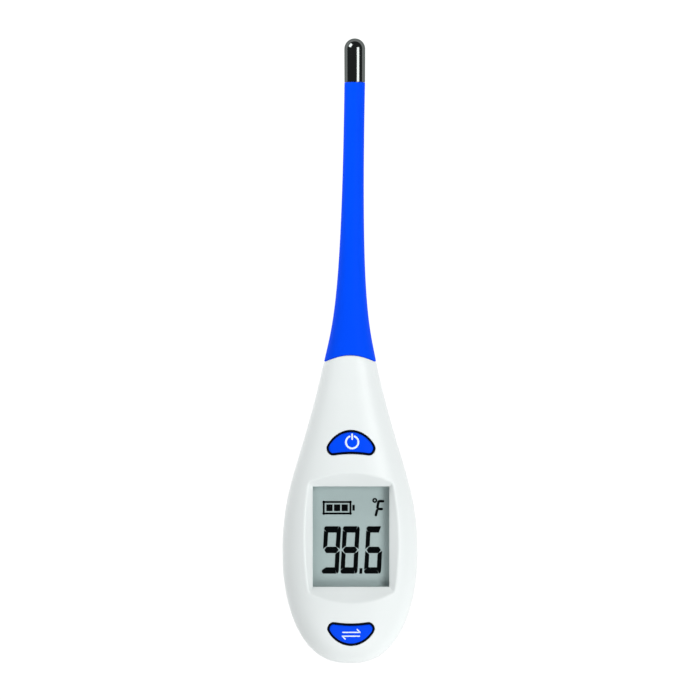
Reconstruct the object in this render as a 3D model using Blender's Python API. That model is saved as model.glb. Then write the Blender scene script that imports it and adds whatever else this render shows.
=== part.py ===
"""Digital thermometer with a large display and a flexible probe, lying on its back.

The heel points along -Y and the probe tip along +Y. The display faces +Z and the rest face is z = 0.
Sizes are in millimetres until placed() turns them into metres. Distances along the thermometer, called
reach in this file, start at the heel.
"""

import math

import bmesh
import bpy

MM = 0.001

# Body outline
LENGTH = 131.2
HALF_WIDTH = 14.18
HEEL_REACH = 23.1
HEEL_ROUNDING = (2.04, 2.45)
NECK = 64.0
NECK_HALF_WIDTH = 5.33
NECK_HALF_THICKNESS = 4.8
CAP_START = 122.0
PROBE_RADIUS = 2.17

# Body thickness
PARTING = 7.0
CROWN = 8.0
CROWN_REACH = 25.0
BELLY = 7.7
BELLY_REACH = 16.0
HEEL_DEPTH_ROUNDING = (2.0, 2.9)
FRONT_POWER = 2.5
REAR_POWER = 3.0
ROUND_FROM = 45.0
ROUND_AT = 90.0
WALL = 1.8

# Seam between the two shells
LIP_HEIGHT = 0.9
LIP_INSET = 1.0
LIP_END = 60.0
LIP_GAP = 0.1

# Seam between the handle and the probe sleeve
SEAM_PEAK = 64.85
SEAM_DROP = 1.7
SEAM_GAP = 0.1

# Probe
LEAN_START = 62.0
LEAN = 1.0
BEND = 104.0
BEND_GAP = 0.12
BORE_RADIUS = 1.0
SLEEVE_END = 121.95
DOME_CENTRE = 129.0
DOME_RADIUS = 2.2

# Spigot that plugs the sleeve into the handle, as (reach, half width, half height)
SPIGOT = (
    (56.5, 3.3, 2.75),
    (57.0, 3.3, 2.75),
    (57.0, 4.4, 3.4),
    (58.2, 4.4, 3.4),
    (58.2, 3.3, 2.75),
    (67.0, 3.3, 2.75),
)

# Sensor and its two leads
BEAD_REACH = 128.3
BEAD_HALF_LENGTH = 0.8
BEAD_RADIUS = 0.5
LEAD_RADIUS = 0.15
LEAD_SPACING = 0.35
LEAD_REACHES = (127.3, 122.0, 116.0, 110.0, 108.0, 106.0, 104.0, 102.0, 100.0, 98.0, 92.0, 76.0, 62.0, 58.0)

# Display
WINDOW_X = 0.2
WINDOW_REACH = 26.7
WINDOW_HALF = (8.0, 10.5)
WINDOW_EDGE = 12.2
CEILING = 11.5
BEZEL_CORNERS = ((-8.6, 14.9), (9.35, 15.0), (9.0, 38.0), (-8.7, 38.0))
BEZEL_BOWS = (2.15, 0.75, 2.05, 0.8)

# Layers of the display, as (half width, half length, bottom, top)
LENS_POCKET = (9.45, 11.85, PARTING, CEILING)
LENS = (9.2, 11.6, 10.6, 11.4)
LCD_FRONT_GLASS = (9.0, 11.4, 9.5, 10.1)
LCD_REAR_GLASS = (9.0, 10.3, 8.85, 9.4)
LCD_REFLECTOR = (8.8, 10.1, 8.6, 8.75)
ZEBRA = (8.6, 0.8, 7.5, 9.4)
LCD_REACH = WINDOW_REACH + 1.1
ZEBRA_REACH = WINDOW_REACH - 10.3

# Frames of the display, as (outer half sizes, inner half sizes, bottom, top)
GASKET = ((9.1, 11.5), (8.3, 10.8), 10.2, 10.5)
LCD_FRAME = ((9.0, 10.3), (7.8, 9.1), 7.5, 8.5)

# Buttons: an arch on a slightly hollow chord. ARCH_FOOT is the height of its widest place.
BUTTON_X = 0.2
POWER_REACH = 46.38
POWER_SIZE = (10.3, 5.4)
MODE_REACH = 6.36
MODE_SIZE = (10.0, 5.06)
ARCH_POWER = 1.5
ARCH_FOOT = 0.305
ARCH_CORNER = 1.4
ARCH_HOLLOW = 0.32
RIM = 0.4
RIM_GAP = 0.08
BUTTON_GAP = 0.1
PROUD = 0.25
STEM_RADIUS = 1.1

# Tactile switches
SWITCH_HALF = 2.2
SWITCH_WELL_RADIUS = 1.1
PLUNGER_RADIUS = 1.0
MODE_SWITCH_REACH = MODE_REACH + 1.0

# Circuit board and cell
BOARD = (6.4, 7.4)
BOARD_SPAN = (4.6, 54.0)
BOARD_INSET = 2.5
BOARD_HALF_WIDTH = 10.2
CELL_REACH = 27.5
CELL_RADIUS = 10.0
CELL = (2.0, 5.2)
BAY_RADIUS = 10.55
BAY_WALL = 0.85
SCREWS = ((-6.2, 41.2), (6.2, 41.2), (-7.0, 11.8), (7.0, 11.8))
SCREW_PROFILE = ((0.0, 5.6), (1.1, 5.6), (1.35, 5.8), (1.35, 6.3), (0.6, 6.3), (0.6, 10.4), (0.0, 11.0))
POST_RADIUS = 1.6
PILOT_RADIUS = 0.75
SCREW_HOLE_RADIUS = 0.85
SOLDERED = 7.45
BLOB_PROFILE = ((0.0, 7.5), (4.5, 7.5), (4.3, 7.8), (3.2, 8.2), (1.6, 8.4), (0.0, 8.45))
CRYSTAL = (0.95, 5.3, (41.2, 47.0), -4.0)
SMALL_PARTS = (
    ("capacitor_1", -3.4, 50.4),
    ("capacitor_2", 3.4, 50.4),
    ("resistor_1", -3.2, 52.4),
    ("resistor_2", 3.2, 52.4),
)
SMALL_PART_HALF = (0.8, 0.4)
SMALL_PART_TOP = 8.1

# Battery contacts, as (reach, z) for the sprung leaf and (x, z) for the side clip
LEAF_PATH = ((39.6, 6.3), (36.0, 6.3), (31.0, 5.55), (27.5, 5.5), (25.5, 5.9))
LEAF_THICKNESS = 0.2
LEAF_HALF_WIDTH = 2.0
CLIP_SECTION = ((7.6, 6.3), (10.35, 6.3), (10.35, 2.9), (10.15, 2.9), (10.15, 6.1), (7.6, 6.1))
CLIP_HALF_WIDTH = 1.5

# Battery door
DOOR_TOP = 1.6
DOOR_HALF_WIDTHS = (10.1, 10.7)
DOOR_END = 38.0
DOOR_GAP = 0.15
GRIP_START = 11.3
GRIP_PITCH = 1.5
GRIP_WIDTH = 0.6
GRIP_DEPTH = 0.4
GRIP_HALF_LENGTH = 5.0
TONGUE = (6.0, 39.6, 0.75, 1.45)
REAR_FLOOR = 2.9
FLOOR_STEP = 41.0

# Piezo sounder
PIEZO_REACH = 45.5
PIEZO_RADIUS = 5.0
PIEZO_DISC = (3.05, 3.25)
CERAMIC_RADIUS = 3.6
CERAMIC = (3.3, 3.45)
SOUND_PORT_RADIUS = 0.8
RED_LEAD = ((1.5, 46.5, 3.6), (1.9, 47.5, 4.4), (2.2, 48.5, 5.4), (2.4, 49.0, 6.2))
BLACK_LEAD = ((-1.0, 49.7, 3.4), (-1.5, 50.2, 4.2), (-1.9, 50.6, 5.2), (-2.2, 51.0, 6.2))

WHITE = (0.86, 0.88, 0.87)
BLUE = (0.0, 0.07, 0.92)
BLACK = (0.02, 0.02, 0.025)
STEEL = (0.62, 0.64, 0.66)
BRASS = (0.75, 0.57, 0.25)
RED = (0.6, 0.04, 0.03)
CLEAR = (0.8, 0.85, 0.85)
LCD_GLASS = (0.45, 0.52, 0.5)
FOIL = (0.75, 0.78, 0.78)
ZEBRA_PINK = (0.7, 0.45, 0.5)
BOARD_GREEN = (0.03, 0.22, 0.1)
CERAMIC_BROWN = (0.72, 0.56, 0.38)
CERAMIC_WHITE = (0.8, 0.78, 0.7)
NATURAL_PLASTIC = (0.85, 0.85, 0.8)
RESIN = (0.35, 0.3, 0.2)


def clear_scene():
    for old in list(bpy.data.objects):
        bpy.data.objects.remove(old, do_unlink=True)


def placed(point):
    x, reach, z = point
    return (x * MM, (reach - LENGTH / 2) * MM, z * MM)


def bezier_height(points, reach):
    """Height of a cubic Bezier curve, given as (reach, height) points, at one reach."""
    low, high = 0.0, 1.0
    for _ in range(30):
        t = (low + high) / 2
        weights = ((1 - t) ** 3, 3 * t * (1 - t) ** 2, 3 * t * t * (1 - t), t**3)
        if sum(w * p[0] for w, p in zip(weights, points)) < reach:
            low = t
        else:
            high = t
    return sum(w * p[1] for w, p in zip(weights, points))


def heel_height(full, length, rounding, reach):
    """Rises from nothing at the heel to its full height at length."""
    if reach <= 0:
        return 0.0
    inner, outer = rounding
    return full * (1 - max(0.0, 1 - reach / length) ** inner) ** (1 / outer)


def half_width(reach):
    if reach < HEEL_REACH:
        return heel_height(HALF_WIDTH, HEEL_REACH, HEEL_ROUNDING, reach)
    if reach < NECK:
        flank = ((HEEL_REACH, HALF_WIDTH), (38.1, HALF_WIDTH), (41.1, 10.24), (NECK, NECK_HALF_WIDTH))
        return bezier_height(flank, reach)
    probe = ((NECK, NECK_HALF_WIDTH), (71.34, 3.76), (76.67, 2.01), (CAP_START, PROBE_RADIUS))
    return bezier_height(probe, min(reach, CAP_START))


def half_thickness(full, heel, middle, reach):
    if reach < heel:
        return heel_height(full, heel, HEEL_DEPTH_ROUNDING, reach)
    if reach < NECK:
        back = ((heel, full), (middle, full), (50.0, 6.32), (NECK, NECK_HALF_THICKNESS))
        return bezier_height(back, reach)
    probe = ((NECK, NECK_HALF_THICKNESS), (74.0, 3.7), (84.0, 2.25), (CAP_START, PROBE_RADIUS))
    return bezier_height(probe, min(reach, CAP_START))


def crown(reach):
    return half_thickness(CROWN, CROWN_REACH, 40.0, reach)


def belly(reach):
    return half_thickness(BELLY, BELLY_REACH, 42.0, reach)


def inset(profile, reach, depth):
    """The profile moved inwards by depth, measured square to it."""
    steps = [depth * (i / 8 - 1) for i in range(17)]
    return min(profile(reach + step) - math.sqrt(depth**2 - step**2) for step in steps)


def section_power(reach, handle_power):
    """Superellipse power of the cross-section, from boxy in the handle to round in the probe."""
    t = min(1.0, max(0.0, (ROUND_AT - reach) / (ROUND_AT - ROUND_FROM)))
    return 2 + (handle_power - 2) * t * t * (3 - 2 * t)


def skin(x, reach):
    """Height of the front face above the rest face."""
    power = section_power(reach, FRONT_POWER)
    share = min(1.0, abs(x / half_width(reach)))
    return PARTING + crown(reach) * (1 - share**power) ** (1 / power)


def centre_x(reach):
    """Sideways position of the probe's centre line."""
    return LEAN * min(1.0, max(0.0, (reach - LEAN_START) / (CAP_START - LEAN_START)))


def half_ring(reach, width, height, power, side, limit, extend=0.0, steps=20):
    """Half a superellipse on one side of the parting plane, closed straight across."""
    points = []
    for i in range(steps + 1):
        angle = math.pi * i / steps
        x = width * math.copysign(abs(math.cos(angle)) ** (2 / power), math.cos(angle))
        rise = min(limit, height * math.sin(angle) ** (2 / power)) if 0 < i < steps else 0.0
        points.append((centre_x(reach) + x, reach, PARTING + side * rise))
    if extend:
        points.append((centre_x(reach) - width, reach, PARTING - side * extend))
        points.append((centre_x(reach) + width, reach, PARTING - side * extend))
    return points


def full_ring(reach, across, up, steps=24):
    angles = [2 * math.pi * i / steps for i in range(steps)]
    return [
        (centre_x(reach) + across * math.cos(a), reach, PARTING + up * math.sin(a)) for a in angles
    ]


def skinned(rings, cyclic=False):
    """Joins rings of points into one closed surface. A ring of one point is a pole."""
    mesh = bmesh.new()
    rows = [[mesh.verts.new(placed(point)) for point in ring] for ring in rings]
    pairs = list(zip(rows, rows[1:]))
    if cyclic:
        pairs.append((rows[-1], rows[0]))
    for a, b in pairs:
        count = max(len(a), len(b))
        for i in range(count):
            j = (i + 1) % count
            corners = (a[i % len(a)], a[j % len(a)], b[j % len(b)], b[i % len(b)])
            mesh.faces.new(tuple(dict.fromkeys(corners)))
    if not cyclic:
        for row in (rows[0], rows[-1]):
            if len(row) > 2:
                mesh.faces.new(row)
    bmesh.ops.recalc_face_normals(mesh, faces=mesh.faces)
    return mesh


def combined(meshes):
    """Several separate shapes as one mesh."""
    whole = bmesh.new()
    for mesh in meshes:
        data = bpy.data.meshes.new("shape")
        mesh.to_mesh(data)
        mesh.free()
        whole.from_mesh(data)
        bpy.data.meshes.remove(data)
    return whole


def prism(outline, bottom, top):
    return skinned([[(x, reach, z) for x, reach in outline] for z in (bottom, top)])


def rectangle(x, reach, half_x, half_reach):
    return [
        (x - half_x, reach - half_reach),
        (x + half_x, reach - half_reach),
        (x + half_x, reach + half_reach),
        (x - half_x, reach + half_reach),
    ]


def block(low, high):
    outline = [(low[0], low[1]), (high[0], low[1]), (high[0], high[1]), (low[0], high[1])]
    return prism(outline, low[2], high[2])


def circle(x, reach, radius, steps=32):
    angles = [2 * math.pi * i / steps for i in range(steps)]
    return [(x + radius * math.cos(a), reach + radius * math.sin(a)) for a in angles]


def turned(x, reach, profile, steps=32):
    """A solid turned about the Z line through (x, reach); profile holds (radius, z), ends included."""
    rings = []
    for radius, z in profile:
        if radius:
            rings.append([(a, b, z) for a, b in circle(x, reach, radius, steps)])
        else:
            rings.append([(x, reach, z)])
    return skinned(rings)


def frame(x, reach, outer, inner, bottom, top):
    """A flat rectangular frame."""
    rings = []
    for half, z in ((outer, bottom), (outer, top), (inner, top), (inner, bottom)):
        rings.append([(a, b, z) for a, b in rectangle(x, reach, *half)])
    return skinned(rings, cyclic=True)


def coloured(name, colour, roughness, metallic):
    material = bpy.data.materials.new(name + "_material")
    material.use_nodes = True
    shader = material.node_tree.nodes["Principled BSDF"]
    shader.inputs["Base Color"].default_value = (*colour, 1.0)
    shader.inputs["Roughness"].default_value = roughness
    shader.inputs["Metallic"].default_value = metallic
    return material


def solid(name, mesh, colour, roughness=0.4, metallic=0.0, pivot=None, smooth=True):
    """Adds one piece. Its origin is at pivot, or at its own middle."""
    if pivot is None:
        count = len(mesh.verts)
        origin = [sum(v.co[axis] for v in mesh.verts) / count for axis in range(3)]
    else:
        origin = placed(pivot)
    for vertex in mesh.verts:
        for axis in range(3):
            vertex.co[axis] -= origin[axis]
    data = bpy.data.meshes.new(name)
    mesh.to_mesh(data)
    mesh.free()
    data.materials.append(coloured(name, colour, roughness, metallic))
    if smooth:
        data.shade_smooth()
        data.set_sharp_from_angle(angle=math.radians(35))
    piece = bpy.data.objects.new(name, data)
    piece.location = origin
    bpy.context.scene.collection.objects.link(piece)
    return piece


def changed(piece, operation, mesh, name):
    """Adds to a piece, cuts it or keeps a part of it with a hidden tool."""
    data = bpy.data.meshes.new(name)
    mesh.to_mesh(data)
    mesh.free()
    tool = bpy.data.objects.new(name, data)
    tool.hide_render = True
    tool.display_type = "WIRE"
    bpy.context.scene.collection.objects.link(tool)
    modifier = piece.modifiers.new(name, "BOOLEAN")
    modifier.operation = operation
    modifier.solver = "EXACT"
    modifier.object = tool


def wire(name, points, radius, colour):
    curve = bpy.data.curves.new(name, "CURVE")
    curve.dimensions = "3D"
    curve.bevel_depth = radius * MM
    curve.bevel_resolution = 1
    curve.use_fill_caps = True
    spline = curve.splines.new("POLY")
    spline.points.add(len(points) - 1)
    for knot, point in zip(spline.points, points):
        knot.co = (*placed(point), 1.0)
    curve.materials.append(coloured(name, colour, 0.45, 0.0))
    piece = bpy.data.objects.new(name, curve)
    bpy.context.scene.collection.objects.link(piece)


def stations(start, rounded, end, steps_rounded, steps_straight):
    """Stations that close up towards the start, then run evenly."""
    first = [
        start + (rounded - start) * (1 - math.cos(math.pi / 2 * i / steps_rounded))
        for i in range(steps_rounded + 1)
    ]
    rest = [rounded + (end - rounded) * i / steps_straight for i in range(1, steps_straight + 1)]
    return first + rest


def outer_half(front):
    rings = []
    for reach in stations(0.0, 20.0, 66.0, 10, 18):
        height = crown(reach) if front else belly(reach)
        power = section_power(reach, FRONT_POWER if front else REAR_POWER)
        limit = CROWN if front else PARTING
        if reach:
            side = 1 if front else -1
            rings.append(half_ring(reach, half_width(reach), height, power, side, limit))
        else:
            rings.append([(0.0, 0.0, PARTING)])
    return skinned(rings)


def inner_half(front):
    rings = []
    start = WALL + 0.25
    reaches = stations(start, 20.0, 68.0, 7, 15)
    if not front:
        reaches = sorted(reaches + [FLOOR_STEP, FLOOR_STEP + 0.6])
    for reach in reaches:
        width = inset(half_width, reach, WALL)
        height = inset(crown if front else belly, reach, WALL)
        power = section_power(reach, FRONT_POWER if front else REAR_POWER)
        floor = REAR_FLOOR if reach <= FLOOR_STEP else WALL
        limit = CEILING - PARTING if front else PARTING - floor
        extend = LIP_HEIGHT + 0.3 if front else 1.0
        side = 1 if front else -1
        rings.append(half_ring(reach, width, height, power, side, limit, extend, steps=14))
    return skinned(rings)


def plan(depth, start, end):
    """Outline of the body seen from the front, moved inwards."""
    reaches = stations(start, 20.0, end, 7, 12)
    edge = [(inset(half_width, reach, depth), reach) for reach in reaches]
    return edge + [(-x, reach) for x, reach in reversed(edge)]


def seam_block(end, gap):
    """The space on one side of the curved seam between handle and sleeve."""
    half = 8.0
    arc = []
    for i in range(13):
        x = half * (i / 6 - 1)
        arc.append((x, SEAM_PEAK + gap - SEAM_DROP * (x / NECK_HALF_WIDTH) ** 2))
    return prism(arc + [(half, end), (-half, end)], -1.0, 16.0)


def bowed(corners, bows, steps):
    """Outline of a four-sided shape whose sides bow outwards."""
    outline = []
    for i, (a, b) in enumerate(zip(corners, corners[1:] + corners[:1])):
        long = math.dist(a, b)
        out = ((b[1] - a[1]) / long, (a[0] - b[0]) / long)
        for k in range(steps):
            t = k / steps
            push = bows[i] * 4 * t * (1 - t)
            outline.append(tuple(a[n] + (b[n] - a[n]) * t + out[n] * push for n in range(2)))
    return outline


def bezel_space():
    """The display recess: a sloping surround from the front face down to the window, and the window."""
    steps = 8
    past = 1.4
    half_x, half_reach = WINDOW_HALF
    window = bowed(tuple(rectangle(WINDOW_X, WINDOW_REACH, half_x, half_reach)), (0, 0, 0, 0), steps)
    rim = bowed(BEZEL_CORNERS, BEZEL_BOWS, steps)
    slope = []
    for (x, reach), (rim_x, rim_reach) in zip(window, rim):
        rise = skin(rim_x, rim_reach) - WINDOW_EDGE
        out, along = past * (rim_x - x), past * (rim_reach - reach)
        slope.append((x + out, reach + along, WINDOW_EDGE + past * rise))
    return skinned(
        [
            [(x, reach, CEILING - 1.0) for x, reach in window],
            [(x, reach, WINDOW_EDGE) for x, reach in window],
            slope,
            [(x, reach, PARTING + CROWN + 2.0) for x, reach, _ in slope],
        ]
    )


def quarter_turn(steps):
    return [math.pi / 2 * i / steps for i in range(steps)]


def button_outline(reach, size, depth, towards_tip):
    """An arch on a slightly hollow chord, with rounded corners, moved inwards by depth."""
    across = size[0] / 2 - depth
    widest = (ARCH_FOOT - 0.5) * size[1]
    rise = (1 - ARCH_FOOT) * size[1] - depth
    fall = ARCH_FOOT * size[1] - depth
    corner = ARCH_CORNER - depth
    flat = across - corner
    outline = []
    for i in range(14):
        angle = math.pi * i / 14
        outline.append((across * math.cos(angle), widest + rise * math.sin(angle) ** ARCH_POWER))
    for angle in quarter_turn(3):
        outline.append((-flat - corner * math.cos(angle), widest - fall * math.sin(angle)))
    for share in (-1.0, -0.5, 0.0, 0.5):
        outline.append((flat * share, widest - fall + ARCH_HOLLOW * (1 - share**2)))
    for angle in quarter_turn(3):
        outline.append((flat + corner * math.sin(angle), widest - fall * math.cos(angle)))
    side = 1 if towards_tip else -1
    return [(BUTTON_X + side * x, reach + side * y) for x, y in outline]


def button(name, reach, size, towards_tip, stem_bottom, flange_bottom, flange_top):
    """A cap with a flange behind the shell and a stem down to its switch."""
    outline = button_outline(reach, size, RIM + BUTTON_GAP, towards_tip)
    wide = button_outline(reach, size, 0.0, towards_tip)

    def shrunk(share, lift):
        rows = [(BUTTON_X + (x - BUTTON_X) * share, reach + (y - reach) * share) for x, y in outline]
        return [(x, y, skin(x, y) + lift) for x, y in rows]

    def level(rows, z):
        return [(x, y, z) for x, y in rows]

    stem = [around(point, reach) for point in outline]
    rings = [
        level(stem, stem_bottom),
        level(stem, flange_bottom),
        level(wide, flange_bottom),
        level(wide, flange_top),
        level(outline, flange_top),
        shrunk(1.0, -0.1),
        shrunk(0.97, 0.1),
        shrunk(0.9, PROUD),
        shrunk(0.6, PROUD + 0.05),
        shrunk(0.3, PROUD + 0.05),
        [(BUTTON_X, reach, skin(BUTTON_X, reach) + PROUD + 0.05)],
    ]
    solid(name, skinned(rings), BLUE, 0.35, pivot=(BUTTON_X, reach, flange_top))


def around(point, reach):
    """The point of the stem's circle in the same direction as a point of the cap's outline."""
    angle = math.atan2(point[1] - reach, point[0] - BUTTON_X)
    return (BUTTON_X + STEM_RADIUS * math.cos(angle), reach + STEM_RADIUS * math.sin(angle))


def collar(name, reach, size, towards_tip, bottom):
    outer = button_outline(reach, size, RIM_GAP, towards_tip)
    inner = button_outline(reach, size, RIM, towards_tip)
    rings = []
    for outline, lift in ((outer, None), (outer, 0.05), (inner, 0.05), (inner, None)):
        rings.append([(x, y, bottom if lift is None else skin(x, y) + lift) for x, y in outline])
    solid(name, skinned(rings, cyclic=True), BLACK, 0.6)


def layer(reach, size):
    """A flat rectangular layer centred under the window's middle line."""
    half_x, half_reach, bottom, top = size
    return prism(rectangle(WINDOW_X, reach, half_x, half_reach), bottom, top)


def screw_cylinders(radius, steps, bottom, top):
    return combined([prism(circle(x, reach, radius, steps), bottom, top) for x, reach in SCREWS])


def front_shell():
    shell = solid("front_shell", outer_half(True), WHITE, 0.35)
    lip = prism(plan(LIP_INSET, LIP_INSET + 0.25, LIP_END), PARTING - LIP_HEIGHT, PARTING + 0.3)
    changed(shell, "UNION", lip, "shell_lip")
    changed(shell, "DIFFERENCE", inner_half(True), "front_cavity")
    changed(shell, "DIFFERENCE", layer(WINDOW_REACH, LENS_POCKET), "lens_pocket")
    changed(shell, "DIFFERENCE", bezel_space(), "display_recess")
    changed(shell, "DIFFERENCE", seam_block(70.0, 0.0), "front_seam")
    for label, reach, size, up in (
        ("power", POWER_REACH, POWER_SIZE, True),
        ("mode", MODE_REACH, MODE_SIZE, False),
    ):
        hole = prism(button_outline(reach, size, 0.0, up), PARTING + 1.0, PARTING + CROWN + 1.0)
        changed(shell, "DIFFERENCE", hole, label + "_hole")
    posts = screw_cylinders(POST_RADIUS, 16, BOARD[1] + 0.1, CEILING + 0.8)
    changed(shell, "UNION", posts, "screw_posts")
    pilots = screw_cylinders(PILOT_RADIUS, 12, BOARD[1] - 0.5, CEILING - 0.3)
    changed(shell, "DIFFERENCE", pilots, "screw_pilots")


def dovetail(grow, top, end):
    low, high = (half + grow for half in DOOR_HALF_WIDTHS)
    ring = [(-low, -1.0), (low, -1.0), (low, 0.0), (high, top), (-high, top), (-low, 0.0)]
    return skinned([[(x, reach, z) for x, z in ring] for reach in (-2.0, end)])


def rear_shell():
    shell = solid("rear_shell", outer_half(False), WHITE, 0.35)
    changed(shell, "DIFFERENCE", inner_half(False), "rear_cavity")
    depth = LIP_INSET - LIP_GAP
    edge = plan(depth, depth + 0.25, LIP_END + 0.2)
    rebate = prism(edge, PARTING - LIP_HEIGHT - LIP_GAP, PARTING + 0.5)
    changed(shell, "DIFFERENCE", rebate, "lip_rebate")
    changed(shell, "DIFFERENCE", seam_block(70.0, 0.0), "rear_seam")
    bay = prism(circle(0.0, CELL_REACH, BAY_RADIUS + BAY_WALL, 48), REAR_FLOOR - 0.2, 5.0)
    changed(shell, "UNION", bay, "cell_bay_wall")
    cell_space = prism(circle(0.0, CELL_REACH, BAY_RADIUS, 48), DOOR_TOP - 0.5, 5.5)
    changed(shell, "DIFFERENCE", cell_space, "cell_space")
    way = dovetail(DOOR_GAP, DOOR_TOP + DOOR_GAP, DOOR_END + DOOR_GAP)
    changed(shell, "DIFFERENCE", way, "door_way")
    half, end, low, high = TONGUE
    start = (-half - 0.2, DOOR_END - 1.0, low - DOOR_GAP)
    slot = block(start, (half + 0.2, end + 0.2, high + DOOR_GAP))
    changed(shell, "DIFFERENCE", slot, "tongue_slot")
    seat = prism(circle(0.0, PIEZO_REACH, PIEZO_RADIUS - 0.2, 24), 1.0, 2.95)
    changed(shell, "UNION", seat, "sounder_seat")
    chamber = prism(circle(0.0, PIEZO_REACH, PIEZO_RADIUS - 1.0, 24), 1.6, 4.0)
    changed(shell, "DIFFERENCE", chamber, "sounder_chamber")
    port = prism(circle(0.0, PIEZO_REACH, SOUND_PORT_RADIUS, 16), -1.0, 3.0)
    changed(shell, "DIFFERENCE", port, "sound_port")


def battery_door():
    door = solid("battery_door", outer_half(False), WHITE, 0.4, pivot=(0.0, CELL_REACH, 0.0))
    changed(door, "INTERSECT", dovetail(0.0, DOOR_TOP, DOOR_END), "door_extent")
    half, end, low, high = TONGUE
    changed(door, "UNION", block((-half, DOOR_END - 0.8, low), (half, end, high)), "door_tongue")
    grooves = []
    for number in range(5):
        start = GRIP_START + GRIP_PITCH * number
        end = (GRIP_HALF_LENGTH, start + GRIP_WIDTH, GRIP_DEPTH)
        grooves.append(block((-GRIP_HALF_LENGTH, start, -1.0), end))
    changed(door, "DIFFERENCE", combined(grooves), "grip_grooves")


def probe():
    radius = half_width(BEND)
    reaches = (61.0, 64.0, 67.0, 70.0, 73.0, 76.0, 79.0, 83.0, 88.0, 94.0, 99.0, BEND)
    rings = [sleeve_ring(reach) for reach in reaches]
    for degrees in (15, 30, 43, 55):
        angle = math.radians(degrees)
        rings.append(full_ring(BEND + radius * math.sin(angle), *[radius * math.cos(angle)] * 2))
    base = solid("probe_sleeve_base", skinned(rings), BLUE, 0.5)
    changed(base, "DIFFERENCE", seam_block(50.0, SEAM_GAP), "sleeve_seam")
    changed(base, "UNION", skinned([full_ring(*size) for size in SPIGOT]), "sleeve_spigot")
    bore = [full_ring(reach, BORE_RADIUS, BORE_RADIUS, 12) for reach in (56.0, 62.0, 84.0, 108.0)]
    changed(base, "DIFFERENCE", skinned(bore), "sleeve_bore")

    cup = radius + BEND_GAP
    start = math.degrees(math.acos(radius / cup))
    outline = []
    for share in (0.0, 0.33, 0.67, 1.0):
        angle = math.radians(start + share * (64.0 - start))
        outline.append((BEND + cup * math.sin(angle), cup * math.cos(angle)))
    seat = CAP_START - 3.7
    inside = outline + [(seat, outline[-1][1]), (seat, 1.75), (SLEEVE_END, 1.75)]
    outside = [(SLEEVE_END, half_width(SLEEVE_END)), (114.0, half_width(114.0))]
    tube = [full_ring(reach, size, size) for reach, size in inside + outside]
    pivot = (centre_x(BEND), BEND, PARTING)
    solid("probe_sleeve_tip", skinned(tube, cyclic=True), BLUE, 0.5, pivot=pivot)
    probe_end(pivot)


def sleeve_ring(reach):
    """The sleeve's cross-section, in step with the handle's where they meet."""
    halves = []
    for height, handle_power, side in ((crown(reach), FRONT_POWER, 1), (belly(reach), REAR_POWER, -1)):
        power = section_power(reach, handle_power)
        halves.append(half_ring(reach, half_width(reach), height, power, side, CROWN, steps=12))
    front, rear = halves
    return front + rear[-2:0:-1]


def probe_end(pivot):
    """The steel cap, the resin in it, the sensor bead and its two leads."""
    tip = DOME_CENTRE + DOME_RADIUS
    skirt = CAP_START - 3.4
    shoulder = CAP_START + 0.6
    outside = []
    for degrees in (75, 60, 45, 30, 15, 0):
        angle = math.radians(degrees)
        outside.append((DOME_CENTRE + DOME_RADIUS * math.sin(angle), DOME_RADIUS * math.cos(angle)))
    outside += [(CAP_START, PROBE_RADIUS), (CAP_START, 1.6), (skirt, 1.6)]
    inside = [(skirt, 1.3), (shoulder, 1.3), (shoulder, 1.8), (DOME_CENTRE + 0.6, 1.8), (tip - 0.75, 1.0)]
    rings = [full_ring(reach, size, size) for reach, size in outside + inside]
    rings.insert(0, [(centre_x(tip), tip, PARTING)])
    rings.append([(centre_x(tip), tip - 0.4, PARTING)])
    solid("probe_tip_cap", skinned(rings), STEEL, 0.2, 1.0, pivot=pivot)
    resin = [
        (tip - 0.9, 0.9),
        (DOME_CENTRE + 0.5, 1.7),
        (CAP_START + 0.7, 1.7),
        (CAP_START + 0.7, 1.2),
        (skirt + 0.2, 1.2),
        (skirt + 0.2, 0.75),
        (DOME_CENTRE + 0.3, 0.75),
    ]
    rings = [full_ring(reach, size, size, 20) for reach, size in resin]
    rings.insert(0, [(centre_x(tip), tip - 0.75, PARTING)])
    rings.append([(centre_x(tip), DOME_CENTRE + 0.5, PARTING)])
    solid("tip_potting", skinned(rings), RESIN, 0.5, pivot=pivot)
    bead = [[(centre_x(tip), BEAD_REACH - BEAD_HALF_LENGTH, PARTING)]]
    for degrees in (-60, -30, 0, 30, 60):
        angle = math.radians(degrees)
        reach = BEAD_REACH + BEAD_HALF_LENGTH * math.sin(angle)
        bead.append(full_ring(reach, *[BEAD_RADIUS * math.cos(angle)] * 2, 14))
    bead.append([(centre_x(tip), BEAD_REACH + BEAD_HALF_LENGTH, PARTING)])
    solid("thermistor_bead", skinned(bead), BLACK, 0.3, pivot=pivot)
    for side, label, colour in ((-1, "left", RED), (1, "right", BLACK)):
        path = [(centre_x(reach) + side * LEAD_SPACING, reach, PARTING) for reach in LEAD_REACHES]
        path.append((side * 0.5, 56.0, PARTING + 0.1))
        path.append((side * 0.9, 54.6, BOARD[1] + 0.3))
        path.append((side * 1.2, 52.6, BOARD[1] + 0.3))
        wire("sensor_lead_" + label, path, LEAD_RADIUS, colour)


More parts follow.
